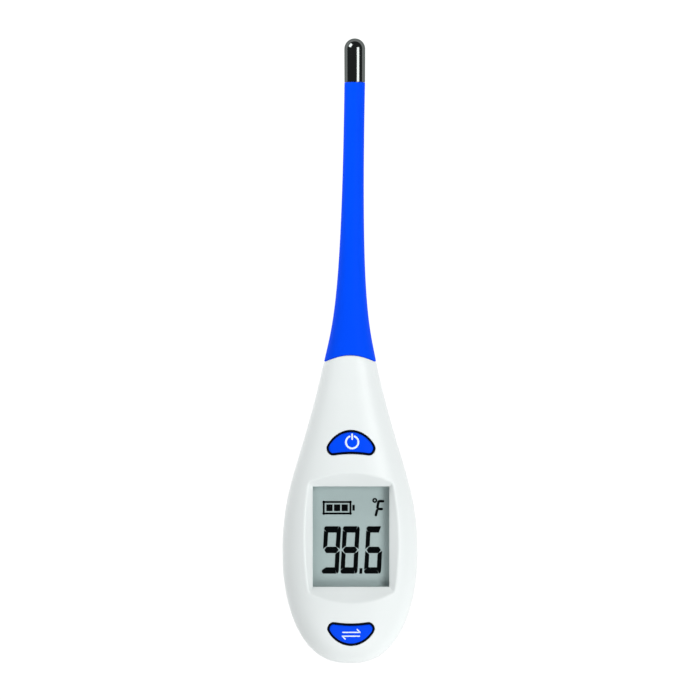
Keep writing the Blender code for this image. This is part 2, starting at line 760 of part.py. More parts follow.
def display():
    solid("display_lens", layer(WINDOW_REACH, LENS), CLEAR, 0.05)
    solid("display_gasket", frame(WINDOW_X, WINDOW_REACH, *GASKET), WHITE, 0.9)
    solid("lcd_front_glass", layer(WINDOW_REACH, LCD_FRONT_GLASS), LCD_GLASS, 0.1)
    solid("lcd_rear_glass", layer(LCD_REACH, LCD_REAR_GLASS), LCD_GLASS, 0.1)
    solid("lcd_reflector", layer(LCD_REACH, LCD_REFLECTOR), FOIL, 0.3)
    solid("lcd_frame", frame(WINDOW_X, LCD_REACH, *LCD_FRAME), WHITE, 0.5)
    solid("zebra_connector", layer(ZEBRA_REACH, ZEBRA), ZEBRA_PINK, 0.6)


def electronics():
    start, end = BOARD_SPAN
    reaches = [start + (end - start) * i / 16 for i in range(17)]
    edge = [(min(BOARD_HALF_WIDTH, half_width(reach) - BOARD_INSET), reach) for reach in reaches]
    outline = edge + [(-x, reach) for x, reach in reversed(edge)]
    board = solid("main_board", prism(outline, *BOARD), BOARD_GREEN, 0.4, smooth=False)
    holes = screw_cylinders(SCREW_HOLE_RADIUS, 12, BOARD[0] - 1, BOARD[1] + 1)
    changed(board, "DIFFERENCE", holes, "screw_holes")
    for number, (x, reach) in enumerate(SCREWS, 1):
        screw = solid(f"board_screw_{number}", turned(x, reach, SCREW_PROFILE, 14), STEEL, 0.35, 1.0)
        for label, along, across in (("wide", 0.8, 0.15), ("tall", 0.15, 0.8)):
            slot = block((x - along, reach - across, 5.0), (x + along, reach + across, 6.0))
            changed(screw, "DIFFERENCE", slot, f"{label}_slot_{number}")

    solid("controller_blob", turned(0.0, 28.0, BLOB_PROFILE, 24), BLACK, 0.3)
    radius, height, ends, middle = CRYSTAL
    crystal = []
    for reach in ends:
        crystal.append([(middle + x, reach, height + z) for x, z in circle(0.0, 0.0, radius, 14)])
    solid("timing_crystal", skinned(crystal), STEEL, 0.25, 1.0)
    for name, x, reach in SMALL_PARTS:
        colour = CERAMIC_BROWN if name.startswith("capacitor") else BLACK
        outline = rectangle(x, reach, *SMALL_PART_HALF)
        solid(name, prism(outline, SOLDERED, SMALL_PART_TOP), colour, 0.5)
    switch("power", POWER_REACH, 9.0, 9.6)
    switch("mode", MODE_SWITCH_REACH, 8.2, 8.7)


def switch(label, reach, body_top, plunger_top):
    """A tactile switch: its body, and the plunger that moves in it."""
    outline = rectangle(BUTTON_X, reach, SWITCH_HALF, SWITCH_HALF)
    body = solid(label + "_switch", prism(outline, SOLDERED, body_top), BLACK, 0.5)
    well = prism(circle(BUTTON_X, reach, SWITCH_WELL_RADIUS, 20), body_top - 0.6, body_top + 1.0)
    changed(body, "DIFFERENCE", well, label + "_switch_well")
    bottom = body_top - 0.1
    profile = ((0.0, bottom), (PLUNGER_RADIUS, bottom), (PLUNGER_RADIUS, plunger_top), (0.0, plunger_top))
    plunger = turned(BUTTON_X, reach, profile, 20)
    pivot = (BUTTON_X, reach, plunger_top)
    solid(label + "_switch_plunger", plunger, NATURAL_PLASTIC, 0.4, pivot=pivot)


def power_parts():
    low, high = CELL
    shape = (
        (0.0, low),
        (CELL_RADIUS - 0.4, low),
        (CELL_RADIUS, low + 0.4),
        (CELL_RADIUS, high - 0.7),
        (CELL_RADIUS - 0.4, high - 0.3),
        (8.9, high - 0.3),
        (8.8, high),
        (0.0, high),
    )
    solid("coin_cell", turned(0.0, CELL_REACH, shape, 48), STEEL, 0.3, 1.0)
    lower = [(reach, z - LEAF_THICKNESS) for reach, z in reversed(LEAF_PATH)]
    outline = list(LEAF_PATH) + lower
    leaf = [[(x, reach, z) for reach, z in outline] for x in (-LEAF_HALF_WIDTH, LEAF_HALF_WIDTH)]
    solid("battery_contact_negative", skinned(leaf), STEEL, 0.3, 1.0, smooth=False)
    ends = (CELL_REACH - CLIP_HALF_WIDTH, CELL_REACH + CLIP_HALF_WIDTH)
    clip = [[(x, reach, z) for x, z in CLIP_SECTION] for reach in ends]
    solid("battery_contact_positive", skinned(clip), STEEL, 0.3, 1.0, smooth=False)
    disc = prism(circle(0.0, PIEZO_REACH, PIEZO_RADIUS, 32), *PIEZO_DISC)
    solid("piezo_disc", disc, BRASS, 0.3, 1.0)
    ceramic = prism(circle(0.0, PIEZO_REACH, CERAMIC_RADIUS, 28), *CERAMIC)
    solid("piezo_ceramic", ceramic, CERAMIC_WHITE, 0.4)
    wire("piezo_lead_red", RED_LEAD, LEAD_RADIUS, RED)
    wire("piezo_lead_black", BLACK_LEAD, LEAD_RADIUS, BLACK)


def buttons():
    button("power_button", POWER_REACH, POWER_SIZE, True, 9.7, 10.3, 10.9)
    collar("power_button_collar", POWER_REACH, POWER_SIZE, True, 11.3)
    button("mode_button", MODE_REACH, MODE_SIZE, False, 8.8, 9.0, 9.4)
    collar("mode_button_collar", MODE_REACH, MODE_SIZE, False, 9.8)


clear_scene()
front_shell()
rear_shell()
battery_door()
probe()
display()
electronics()
power_parts()
buttons()
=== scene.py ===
import functools
import math

import bmesh
import bpy
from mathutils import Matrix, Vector
from mathutils.geometry import delaunay_2d_cdt


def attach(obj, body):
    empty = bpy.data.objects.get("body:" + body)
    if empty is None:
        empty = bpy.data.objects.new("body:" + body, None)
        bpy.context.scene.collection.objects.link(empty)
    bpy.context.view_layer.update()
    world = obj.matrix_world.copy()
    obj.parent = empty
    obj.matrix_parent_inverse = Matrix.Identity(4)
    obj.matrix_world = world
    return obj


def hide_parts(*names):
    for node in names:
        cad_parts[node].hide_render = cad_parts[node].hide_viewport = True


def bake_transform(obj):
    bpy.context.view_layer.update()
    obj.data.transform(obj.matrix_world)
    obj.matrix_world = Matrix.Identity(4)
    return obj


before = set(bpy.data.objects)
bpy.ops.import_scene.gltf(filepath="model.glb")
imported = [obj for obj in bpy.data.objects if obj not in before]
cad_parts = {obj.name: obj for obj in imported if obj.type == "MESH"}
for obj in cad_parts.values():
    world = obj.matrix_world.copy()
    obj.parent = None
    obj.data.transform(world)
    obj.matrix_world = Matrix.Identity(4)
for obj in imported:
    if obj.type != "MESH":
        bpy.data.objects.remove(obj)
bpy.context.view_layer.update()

MM = 0.001

# Driving dimensions in millimetres. The seam, the bows of the bezel and the height of the buttons are
# set for the looks, and the others are the CAD part's.
LENGTH = 131.2
HALF_WIDTH = 14.18
HEEL_REACH = 23.1
HEEL_ROUNDING = (2.04, 2.45)
NECK = 64.0
NECK_HALF_WIDTH = 5.33
NECK_HALF_THICKNESS = 4.8
CAP_START = 122.0
PROBE_RADIUS = 2.17
PARTING = 7.0
HALF_GAP = 0.02
CROWN = 8.0
CROWN_REACH = 25.0
BELLY = 7.7
BELLY_REACH = 16.0
HEEL_DEPTH_ROUNDING = (2.0, 2.9)
FRONT_POWER = 2.5
REAR_POWER = 3.0
ROUND_FROM = 45.0
ROUND_AT = 90.0
WALL = 1.8
SEAM_PEAK = 64.6
SEAM_DROP = 1.45
SEAM_FADE_START = 56.0
LEAN_START = 62.0
LEAN = 1.0
SLEEVE_END = 121.95
DOME_CENTRE = 129.0
DOME_RADIUS = 2.2
WINDOW_X = 0.2
WINDOW_REACH = 26.7
WINDOW_HALF = (8.0, 10.5)
WINDOW_EDGE = 12.2
CEILING = 11.5
POCKET_HALF = (9.5, 11.9)
POCKET_RISE = 1.5
BEZEL_CORNERS = ((-8.6, 14.9), (9.35, 15.0), (9.0, 38.0), (-8.7, 38.0))
BEZEL_BOWS = (2.2, 1.05, 2.15, 0.9)
BUTTON_X = 0.2
POWER_REACH = 46.38
POWER_SIZE = (10.3, 5.4)
MODE_REACH = 6.36
MODE_SIZE = (10.0, 5.06)
RIM = 0.4
PROUD = 0.3
ARCH_POWER = 1.5
ARCH_FOOT = 0.305
ARCH_CORNER = 1.4
ARCH_HOLLOW = 0.32
CELL_REACH = 27.5
BAY_RADIUS = 10.55
BAY_WALL = 0.85
BAY_TOP = 5.0
DOOR_TOP = 1.6
DOOR_HALF_WIDTHS = (10.1, 10.7)
DOOR_END = 38.0
DOOR_GAP = 0.15
TONGUE = (6.0, 39.6, 0.75, 1.45)
REAR_FLOOR = 2.9
FLOOR_STEP = 41.0
PIEZO_REACH = 45.5
PIEZO_RADIUS = 5.0
SOUND_PORT_RADIUS = 0.8
LCD_TOP = 10.1

# Fine edges that only the looks have
EDGE = 0.22
BEZEL_FILLET = 0.34
WINDOW_FILLET = 0.12
HOLE_FILLET = 0.16
KEY_EDGE = 0.32

# The mesh: where the close rows of the heel end, and the sides of a ring round the probe
ROUND_END = 20.0
PROBE_STEPS = 64
MERGE = 0.0000015


# Profiles -----------------------------------------------------------------------------------------


def bezier_height(points, reach):
    """Height of a cubic curve at a reach, found by halving."""
    low, high = 0.0, 1.0
    for _ in range(30):
        t = (low + high) / 2
        weights = ((1 - t) ** 3, 3 * t * (1 - t) ** 2, 3 * t * t * (1 - t), t**3)
        if sum(w * p[0] for w, p in zip(weights, points)) < reach:
            low = t
        else:
            high = t
    return sum(w * p[1] for w, p in zip(weights, points))


def heel_height(full, length, rounding, reach):
    """Height of the rounded heel, which reaches its full height after its length."""
    if reach <= 0:
        return 0.0
    inner, outer = rounding
    return full * (1 - max(0.0, 1 - reach / length) ** inner) ** (1 / outer)


@functools.lru_cache(maxsize=None)
def half_width(reach):
    if reach < HEEL_REACH:
        return heel_height(HALF_WIDTH, HEEL_REACH, HEEL_ROUNDING, reach)
    if reach < NECK:
        flank = ((HEEL_REACH, HALF_WIDTH), (38.1, HALF_WIDTH), (41.1, 10.24), (NECK, NECK_HALF_WIDTH))
        return bezier_height(flank, reach)
    probe = ((NECK, NECK_HALF_WIDTH), (71.34, 3.76), (76.67, 2.01), (CAP_START, PROBE_RADIUS))
    return bezier_height(probe, min(reach, CAP_START))


def half_thickness(full, heel, middle, reach):
    if reach < heel:
        return heel_height(full, heel, HEEL_DEPTH_ROUNDING, reach)
    if reach < NECK:
        back = ((heel, full), (middle, full), (50.0, 6.32), (NECK, NECK_HALF_THICKNESS))
        return bezier_height(back, reach)
    probe = ((NECK, NECK_HALF_THICKNESS), (74.0, 3.7), (84.0, 2.25), (CAP_START, PROBE_RADIUS))
    return bezier_height(probe, min(reach, CAP_START))


@functools.lru_cache(maxsize=None)
def crown(reach):
    return half_thickness(CROWN, CROWN_REACH, 40.0, reach)


@functools.lru_cache(maxsize=None)
def belly(reach):
    return half_thickness(BELLY, BELLY_REACH, 42.0, reach)


def inset(profile, reach, depth):
    """The profile moved inwards, as a circle rolled along it would mark."""
    steps = [depth * (i / 6 - 1) for i in range(13)]
    return min(
        profile(round(reach + step, 3)) - math.sqrt(max(0.0, depth**2 - step**2)) for step in steps
    )


@functools.lru_cache(maxsize=None)
def inner_size(reach, front):
    return inset(half_width, reach, WALL), inset(crown if front else belly, reach, WALL)


def smooth(t):
    t = min(1.0, max(0.0, t))
    return t * t * (3 - 2 * t)


def section_power(reach, handle_power):
    """Exponent of the cross section, from the squarish handle to the round probe."""
    return 2 + (handle_power - 2) * smooth((ROUND_AT - reach) / (ROUND_AT - ROUND_FROM))


def skin(x, reach):
    """Height of the front shell over a point of the plan."""
    power = section_power(reach, FRONT_POWER)
    share = min(1.0, abs(x / half_width(reach)))
    return PARTING + crown(reach) * (1 - share**power) ** (1 / power)


def centre_x(reach):
    """Sideways lean of the probe."""
    return LEAN * min(1.0, max(0.0, (reach - LEAN_START) / (CAP_START - LEAN_START)))


def placed(point):
    """A point in millimetres from the heel, in metres in the shared frame."""
    x, reach, z = point
    return Vector((x * MM, (reach - LENGTH / 2) * MM, z * MM))


# Materials ----------------------------------------------------------------------------------------

RELIEF_DEPTH = 0.00001


def finish(
    name,
    colour,
    roughness,
    metallic=0.0,
    grain=9000.0,
    mottle=0.02,
    spread=0.05,
    bump=0.08,
    stretch=(1.0, 1.0, 1.0),
    **fixed,
):
    """A material whose colour, roughness and relief vary with three layers of noise."""
    made = bpy.data.materials.new(name)
    made.use_nodes = True
    nodes, links = made.node_tree.nodes, made.node_tree.links
    shader = nodes["Principled BSDF"]
    shader.inputs["Metallic"].default_value = metallic
    for socket, value in fixed.items():
        shader.inputs[socket.replace("_", " ")].default_value = value
    coords = nodes.new("ShaderNodeTexCoord")
    mapping = nodes.new("ShaderNodeMapping")
    mapping.inputs["Scale"].default_value = stretch
    links.new(coords.outputs["Object"], mapping.inputs["Vector"])

    def noise(scale, detail):
        texture = nodes.new("ShaderNodeTexNoise")
        texture.inputs["Scale"].default_value = scale
        texture.inputs["Detail"].default_value = detail
        links.new(mapping.outputs["Vector"], texture.inputs["Vector"])
        return texture.outputs["Fac"]

    broad, middle, fine = noise(grain / 60, 3.0), noise(grain / 7, 4.0), noise(grain, 2.0)
    mix = nodes.new("ShaderNodeMix")
    mix.data_type = "RGBA"
    mix.inputs["A"].default_value = (*[max(0.0, c * (1 - mottle)) for c in colour], 1.0)
    mix.inputs["B"].default_value = (*[min(1.0, c * (1 + mottle)) for c in colour], 1.0)
    links.new(broad, mix.inputs["Factor"])
    links.new(mix.outputs["Result"], shader.inputs["Base Color"])
    span = nodes.new("ShaderNodeMapRange")
    span.inputs["From Min"].default_value = 0.3
    span.inputs["From Max"].default_value = 0.7
    span.inputs["To Min"].default_value = max(0.02, roughness - spread)
    span.inputs["To Max"].default_value = min(1.0, roughness + spread)
    links.new(middle, span.inputs["Value"])
    links.new(span.outputs["Result"], shader.inputs["Roughness"])
    relief = nodes.new("ShaderNodeBump")
    relief.inputs["Strength"].default_value = bump
    relief.inputs["Distance"].default_value = RELIEF_DEPTH
    links.new(fine, relief.inputs["Height"])
    links.new(relief.outputs["Normal"], shader.inputs["Normal"])
    return made


FINISHES = {
    "white_shell": finish(
        "white_shell_look", (0.86, 0.9, 0.893), 0.38, mottle=0.012, Specular_IOR_Level=0.38
    ),
    "blue_sleeve": finish(
        "blue_sleeve_look", (0.0, 0.076, 1.0), 0.6,
        mottle=0.035, grain=7000.0, bump=0.15, Specular_IOR_Level=0.03,
    ),
    "blue_button": finish(
        "blue_button_look", (0.0, 0.073, 1.0), 0.5,
        mottle=0.04, grain=8000.0, bump=0.15, Specular_IOR_Level=0.04,
    ),
    "black_rubber": finish(
        "black_rubber_look", (0.002, 0.003, 0.012), 0.6, mottle=0.2, Specular_IOR_Level=0.04
    ),
    "steel": finish(
        "steel_look", (0.13, 0.14, 0.137), 0.1, 1.0, grain=16000.0, mottle=0.05, spread=0.04, bump=0.03,
        stretch=(1.0, 0.08, 1.0), Specular_Tint=(0.5, 0.53, 0.51, 1.0),
    ),
    "lens": finish(
        "lens_look", (0.03, 0.035, 0.035), 0.06, mottle=0.02, spread=0.02, bump=0.01, Alpha=0.03
    ),
    "lcd_glass": finish(
        "lcd_glass_look", (0.455, 0.56, 0.555), 0.35,
        mottle=0.03, grain=12000.0, spread=0.08, Specular_IOR_Level=0.3,
    ),
    "lcd_reflector_film": finish("lcd_film_look", (0.72, 0.76, 0.76), 0.35, 0.6, mottle=0.04, spread=0.1),
    "inner_plastic": finish("inner_plastic_look", (0.8, 0.82, 0.81), 0.55, mottle=0.03, bump=0.2),
    "black_plastic": finish("black_plastic_look", (0.02, 0.021, 0.024), 0.45, mottle=0.2, bump=0.2),
    "circuit_board": finish(
        "circuit_board_look", (0.02, 0.2, 0.085), 0.38, mottle=0.18, grain=5000.0, bump=0.3
    ),
    "epoxy": finish("epoxy_look", (0.012, 0.012, 0.014), 0.18, mottle=0.3, spread=0.08, bump=0.2),
    "resin": finish("resin_look", (0.35, 0.29, 0.18), 0.35, mottle=0.15, bump=0.2),
    "ceramic": finish("ceramic_look", (0.7, 0.55, 0.38), 0.5, mottle=0.12, bump=0.25),
    "zebra_rubber": finish(
        "zebra_rubber_look", (0.62, 0.36, 0.42), 0.6,
        mottle=0.5, grain=30000.0, stretch=(1.0, 0.01, 0.01), bump=0.2,
    ),
    "brass": finish("brass_look", (0.78, 0.57, 0.25), 0.28, 1.0, mottle=0.08, spread=0.1, bump=0.1),
    "wire_red": finish("wire_red_look", (0.58, 0.03, 0.025), 0.4, mottle=0.1, bump=0.1),
    "wire_black": finish("wire_black_look", (0.015, 0.015, 0.018), 0.4, mottle=0.2, bump=0.1),
}
PRINT_WHITE = finish(
    "symbol_print_look", (0.84, 0.95, 1.0), 0.5, mottle=0.03, grain=14000.0, bump=0.2
)
LCD_INK = finish(
    "lcd_segment_look", (0.001, 0.0015, 0.002), 0.6, mottle=0.25, grain=14000.0, Specular_IOR_Level=0.0
)


# Pieces -------------------------------------------------------------------------------------------


def piece(name, mesh, slot, body, replaced=(), material=None, sharp=32.0):
    """Adds a piece of the object, shaded smooth but for its sharp edges."""
    bmesh.ops.remove_doubles(mesh, verts=mesh.verts, dist=MERGE)
    bmesh.ops.dissolve_degenerate(mesh, dist=1e-8, edges=mesh.edges)
    bmesh.ops.recalc_face_normals(mesh, faces=mesh.faces)
    data = bpy.data.meshes.new(name)
    mesh.to_mesh(data)
    mesh.free()
    data.materials.append(material or FINISHES[slot])
    data.shade_smooth()
    data.set_sharp_from_angle(angle=math.radians(sharp))
    made = bpy.data.objects.new(name, data)
    bpy.context.scene.collection.objects.link(made)
    if replaced:
        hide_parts(*replaced)
    if body:
        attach(made, body)
    return made


def add_face(mesh, corners):
    """One face of those corners, without the ones that fall together."""
    kept = []
    for corner in corners:
        if all((corner.co - other.co).length > 1e-9 for other in kept):
            kept.append(corner)
    if len(kept) > 2:
        mesh.faces.new(kept)


def add_strip(mesh, a, b, cyclic=True):
    """Faces between two rows of points that have the same number of points."""
    first = [mesh.verts.new(placed(point)) for point in a]
    second = [mesh.verts.new(placed(point)) for point in b]
    count = len(first)
    for i in range(count if cyclic else count - 1):
        j = (i + 1) % count
        add_face(mesh, (first[i], first[j], second[j], second[i]))


def add_rows(mesh, rows):
    for a, b in zip(rows, rows[1:]):
        add_strip(mesh, a, b)


def skinned(rings, cyclic=False):
    """Joins rings of points into one closed surface. A ring of one point is a pole."""
    mesh = bmesh.new()
    rows = [[mesh.verts.new(placed(point)) for point in ring] for ring in rings]
    pairs = list(zip(rows, rows[1:]))
    if cyclic:
        pairs.append((rows[-1], rows[0]))
    for a, b in pairs:
        count = max(len(a), len(b))
        for i in range(count):
            j = (i + 1) % count
            corners = (a[i % len(a)], a[j % len(a)], b[j % len(b)], b[i % len(b)])
            mesh.faces.new(tuple(dict.fromkeys(corners)))
    if not cyclic:
        for row in (rows[0], rows[-1]):
            if len(row) > 2:
                mesh.faces.new(row)
    bmesh.ops.recalc_face_normals(mesh, faces=mesh.faces)
    return mesh


def combined(meshes):
    whole = bmesh.new()
    for mesh in meshes:
        data = bpy.data.meshes.new("shape")
        mesh.to_mesh(data)
        mesh.free()
        whole.from_mesh(data)
        bpy.data.meshes.remove(data)
    return whole


def prism(outline, bottom, top):
    return skinned([[(x, reach, z) for x, reach in outline] for z in (bottom, top)])


def rectangle(x, reach, half_x, half_reach):
    return [
        (x - half_x, reach - half_reach),
        (x + half_x, reach - half_reach),
        (x + half_x, reach + half_reach),
        (x - half_x, reach + half_reach),
    ]


def block(low, high):
    outline = [(low[0], low[1]), (high[0], low[1]), (high[0], high[1]), (low[0], high[1])]
    return prism(outline, low[2], high[2])


def circle(x, reach, radius, steps=48):
    angles = [2 * math.pi * i / steps for i in range(steps)]
    return [(x + radius * math.cos(a), reach + radius * math.sin(a)) for a in angles]


def carved(start, steps):
    """The start mesh after a row of Boolean operations, as a new mesh."""
    tools = []

    def helper(mesh):
        data = bpy.data.meshes.new("helper")
        mesh.to_mesh(data)
        mesh.free()
        made = bpy.data.objects.new("helper", data)
        bpy.context.scene.collection.objects.link(made)
        tools.append(made)
        return made

    base = helper(start)
    for operation, mesh in steps:
        modifier = base.modifiers.new(operation, "BOOLEAN")
        modifier.operation = operation
        modifier.solver = "EXACT"
        modifier.object = helper(mesh)
    graph = bpy.context.evaluated_depsgraph_get()
    result = bmesh.new()
    evaluated = base.evaluated_get(graph)
    result.from_mesh(evaluated.to_mesh())
    evaluated.to_mesh_clear()
    for made in tools:
        data = made.data
        bpy.data.objects.remove(made)
        bpy.data.meshes.remove(data)
    return result


# Outlines -----------------------------------------------------------------------------------------


def bowed(corners, bows, steps):
    """Outline of a four-sided shape whose sides bow outwards."""
    outline = []
    for i, (a, b) in enumerate(zip(corners, corners[1:] + corners[:1])):
        long = math.dist(a, b)
        out = ((b[1] - a[1]) / long, (a[0] - b[0]) / long)
        for k in range(steps):
            t = k / steps
            push = bows[i] * 4 * t * (1 - t)
            outline.append(tuple(a[n] + (b[n] - a[n]) * t + out[n] * push for n in range(2)))
    return outline


def straight(corners, steps):
    """Outline of a four-sided shape with points along its straight sides."""
    return bowed(corners, (0, 0, 0, 0), steps)


def relaxed(outline, passes):
    """The closed outline with its corners eased."""
    for _ in range(passes):
        after = outline[1:] + outline[:1]
        outline = [
            tuple((outline[i - 1][n] + 2 * outline[i][n] + after[i][n]) / 4 for n in range(2))
            for i in range(len(outline))
        ]
    return outline


def grown(outline, distance):
    """The closed outline moved outwards. It runs anticlockwise."""
    count = len(outline)
    moved = []
    for i in range(count):
        a, b = outline[i - 1], outline[(i + 1) % count]
        long = math.dist(a, b)
        moved.append(
            (
                outline[i][0] + distance * (b[1] - a[1]) / long,
                outline[i][1] + distance * (a[0] - b[0]) / long,
            )
        )
    return moved


def button_outline(reach, size, depth, towards_tip):
    """An arch on a slightly hollow chord, with rounded corners, moved inwards by depth. Anticlockwise."""
    across = size[0] / 2 - depth
    widest = (ARCH_FOOT - 0.5) * size[1]
    rise = (1 - ARCH_FOOT) * size[1] - depth
    fall = ARCH_FOOT * size[1] - depth
    corner = ARCH_CORNER - depth
    flat = across - corner
    outline = []
    for i in range(48):
        angle = math.pi * i / 48
        outline.append((across * math.cos(angle), widest + rise * math.sin(angle) ** ARCH_POWER))
    for i in range(12):
        angle = math.pi / 2 * i / 12
        outline.append((-flat - corner * math.cos(angle), widest - fall * math.sin(angle)))
    for i in range(24):
        share = i / 12 - 1
        outline.append((flat * share, widest - fall + ARCH_HOLLOW * (1 - share**2)))
    for i in range(12):
        angle = math.pi / 2 * (1 - i / 12)
        outline.append((flat + corner * math.cos(angle), widest - fall * math.sin(angle)))
    side = 1 if towards_tip else -1
    return [(BUTTON_X + side * x, reach + side * y) for x, y in relaxed(outline, 3)]


def between(first, second, share):
    """A row of points part of the way from one row to another."""
    return [tuple(a + (b - a) * share for a, b in zip(*pair)) for pair in zip(first, second)]


def inside(point, outline):
    """Whether a point of the plan lies inside a closed outline."""
    x, y = point
    found = False
    for (ax, ay), (bx, by) in zip(outline, outline[1:] + outline[:1]):
        if (ay > y) != (by > y) and x < ax + (bx - ax) * (y - ay) / (by - ay):
            found = not found
    return found


# Front housing ------------------------------------------------------------------------------------

# Reach per row after the heel, where it meets the rate of the closing rows
ROW_RATE = ROUND_END * 0.75 * math.pi
ROWS_END = 1 + (SEAM_PEAK - ROUND_END) / ROW_RATE


def reach_at(row):
    """Reach for a row coordinate that closes up at the heel."""
    if row < 1:
        return ROUND_END * (1 - math.cos(math.pi / 2 * row)) ** 1.5
    return ROUND_END + ROW_RATE * (row - 1)


def row_at(reach):
    """Row coordinate for a reach, the reverse of reach_at."""
    if reach < ROUND_END:
        return math.acos(1 - (reach / ROUND_END) ** (2 / 3)) * 2 / math.pi
    return 1 + (reach - ROUND_END) / ROW_RATE


def seam_fade(reach):
    """Share of the seam's curve that a row follows, from none to all at the seam."""
    return smooth((reach - SEAM_FADE_START) / (SEAM_PEAK - SEAM_FADE_START))


def softened(point, to_seam):
    """Eases the shell's edge where it meets the other shell and the sleeve."""
    x, reach, z = point
    step = 0.02
    rise = abs(z - PARTING)
    if rise < EDGE and reach > 0:
        push = 0.8 * EDGE * (1 - rise / EDGE) ** 2
        slope = (half_width(reach + step) - half_width(max(0.0, reach - step))) / (2 * step)
        long = math.hypot(1, slope)
        across = min(abs(x), push / long)
        x -= math.copysign(across, x)
        reach += push * slope / long
    elif reach == 0:
        reach += 0.8 * EDGE
    if to_seam < EDGE:
        push = 0.7 * EDGE * (1 - max(0.0, to_seam) / EDGE) ** 2
        radius = max(math.hypot(x, z - PARTING), 1e-6)
        x *= 1 - push / radius
        z = PARTING + (z - PARTING) * (1 - push / radius)
    return (x, reach, z)


def front_point(q, row):
    """A point of the front shell's skin; q runs from -1 to 1 across it."""
    start = reach_at(row)
    side = math.sin(q * math.pi / 2)
    drop = SEAM_DROP * (half_width(start) * side / NECK_HALF_WIDTH) ** 2
    reach = start - drop * seam_fade(start)
    power = section_power(reach, FRONT_POWER)
    rise = (1 - min(1.0, abs(side)) ** power) ** (1 / power)
    x = centre_x(reach) + half_width(reach) * side
    z = PARTING + HALF_GAP + crown(reach) * rise
    return softened((x, reach, z), (ROWS_END - row) * ROW_RATE)


def front_domain(x, reach):
    return (math.asin(max(-1.0, min(1.0, x / half_width(reach)))) * 2 / math.pi, row_at(reach))


INNER_START = WALL + 0.25
INNER_RATE = 1 - INNER_START / SEAM_PEAK


def inner_front_point(q, row):
    start = INNER_START + reach_at(row) * INNER_RATE
    if row <= 0:
        return (0.0, start, PARTING + HALF_GAP)
    side = math.sin(q * math.pi / 2)
    drop = SEAM_DROP * (half_width(start) * side / NECK_HALF_WIDTH) ** 2
    reach = start - drop * seam_fade(start)
    width, height = inner_size(reach, True)
    power = section_power(reach, FRONT_POWER)
    rise = (1 - min(1.0, abs(side)) ** power) ** (1 / power)
    x = centre_x(reach) + width * side
    z = PARTING + HALF_GAP + min(CEILING - PARTING - HALF_GAP, height * rise)
    near_window = abs(x - WINDOW_X) < POCKET_HALF[0] and abs(reach - WINDOW_REACH) < POCKET_HALF[1]
    if near_window and z > PARTING + POCKET_RISE:
        z = CEILING
    return (x, reach, z)


def inner_front_domain(x, reach):
    width = inner_size(reach, True)[0]
    return (
        math.asin(max(-1.0, min(1.0, x / width))) * 2 / math.pi,
        row_at((reach - INNER_START) / INNER_RATE),
    )


def add_sheet(mesh, point_at, domain, loops, columns, rows):
    """A curved sheet over columns and rows, with a hole inside each closed loop of the plan."""
    across, along = 15.0, 33.0
    spots, edges = [], []
    for loop in loops:
        first = len(spots)
        spots += [domain(x, reach) for x, reach in loop]
        edges += [(first + i, first + (i + 1) % len(loop)) for i in range(len(loop))]
        for distance in (0.3, 0.75):
            spots += [domain(x, reach) for x, reach in grown(loop, distance)]
    clear = [grown(loop, 1.05) for loop in loops]
    for row in rows:
        for q in columns:
            x, reach, _ = point_at(q, row)
            if not any(inside((x, reach), loop) for loop in clear):
                spots.append((q, row))
    flat = [Vector((q * across, row * along)) for q, row in spots]
    corners, _, faces, *_ = delaunay_2d_cdt(flat, edges, [], 0, 1e-7)
    spots = [(v.x / across, v.y / along) for v in corners]
    points = [point_at(q, row) for q, row in spots]
    verts = [mesh.verts.new(placed(point)) for point in points]
    hole_domains = [[domain(x, reach) for x, reach in loop] for loop in loops]
    for face in faces:
        middle = tuple(sum(spots[i][n] for i in face) / 3 for n in range(2))
        if not any(inside(middle, loop) for loop in hole_domains):
            add_face(mesh, [verts[i] for i in face])


def weighted(points, weights):
    return tuple(sum(w * p[n] for w, p in zip(weights, points)) for n in range(3))


def fillet_rows(outer, edge, inner, steps):
    """Rows of points that round an edge, from its outer side to its inner side."""
    rows = []
    for i in range(steps + 1):
        t = i / steps
        weights = ((1 - t) ** 2, 2 * t * (1 - t), t * t)
        rows.append([weighted(three, weights) for three in zip(outer, edge, inner)])
    return rows


def on_skin(outline):
    return [(x, reach, skin(x, reach) + HALF_GAP) for x, reach in outline]


